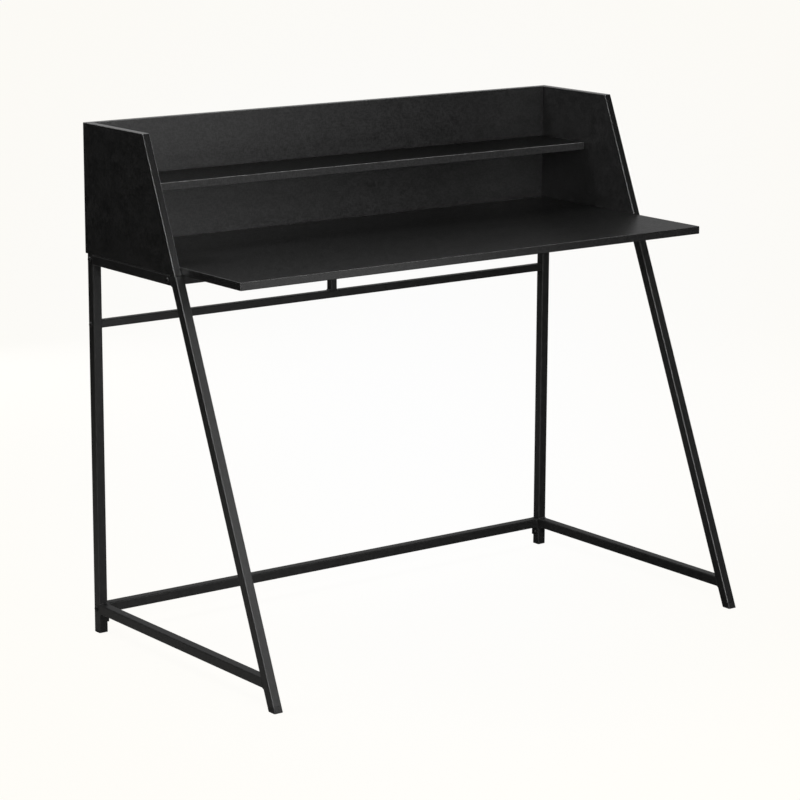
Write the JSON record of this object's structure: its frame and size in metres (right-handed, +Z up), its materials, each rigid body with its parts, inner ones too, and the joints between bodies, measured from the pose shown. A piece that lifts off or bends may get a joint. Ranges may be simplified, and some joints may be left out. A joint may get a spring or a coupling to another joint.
{
  "type": "computer desk with hutch",
  "caption": "Black computer desk on a square-tube steel frame with sloped front legs, with a low hutch of side panels, back panel and one shelf above the writing surface.",
  "frame": {"origin": "on the floor, midway across the width and midway between the front of the front feet and the back of the hutch", "axes": "+X to the right of a person sitting at the desk, +Y to the back, +Z up"},
  "size_m": [1.1146, 0.6189, 0.98],
  "materials": {
    "board": "black melamine-faced board, satin",
    "frame": "black powder coat, satin",
    "fastener": "black oxide",
    "foot": "black moulded plastic",
    "end_nut": "plain zinc-plated steel",
    "dowel": "plain beech"
  },
  "bodies": {
    "root": {"back_panel": "board", "desktop": "board", "front_cross_rail": "frame", "hutch_shelf": "board", "left_back_lower_dowel": "dowel", "left_back_upper_dowel": "dowel", "left_bottom_rail": "frame", "left_desktop_dowel": "dowel", "left_desktop_screw": "fastener", "left_ear_bolt": "fastener", "left_ear_plate": "frame", "left_front_bolt": "fastener", "left_front_end_nut": "end_nut", "left_front_foot": "foot", "left_front_leg": "frame", "left_panel_front_screw": "fastener", "left_panel_rear_screw": "fastener", "left_rear_bottom_bolt": "fastener", "left_rear_bottom_end_nut": "end_nut", "left_rear_foot": "foot", "left_rear_leg": "frame", "left_rear_middle_bolt": "fastener", "left_rear_middle_end_nut": "end_nut", "left_rear_top_bolt": "fastener", "left_rear_top_end_nut": "end_nut", "left_shelf_front_dowel": "dowel", "left_shelf_rear_dowel": "dowel", "left_side_panel": "board", "left_top_rail": "frame", "rear_bottom_cross_rail": "frame", "rear_center_post": "frame", "rear_middle_cross_rail": "frame", "rear_top_cross_rail": "frame", "right_back_lower_dowel": "dowel", "right_back_upper_dowel": "dowel", "right_bottom_rail": "frame", "right_desktop_dowel": "dowel", "right_desktop_screw": "fastener", "right_ear_bolt": "fastener", "right_ear_plate": "frame", "right_front_bolt": "fastener", "right_front_end_nut": "end_nut", "right_front_foot": "foot", "right_front_leg": "frame", "right_panel_front_screw": "fastener", "right_panel_rear_screw": "fastener", "right_rear_bottom_bolt": "fastener", "right_rear_bottom_end_nut": "end_nut", "right_rear_foot": "foot", "right_rear_leg": "frame", "right_rear_middle_bolt": "fastener", "right_rear_middle_end_nut": "end_nut", "right_rear_top_bolt": "fastener", "right_rear_top_end_nut": "end_nut", "right_shelf_front_dowel": "dowel", "right_shelf_rear_dowel": "dowel", "right_side_panel": "board", "right_top_rail": "frame"}
  },
  "joints": []
}
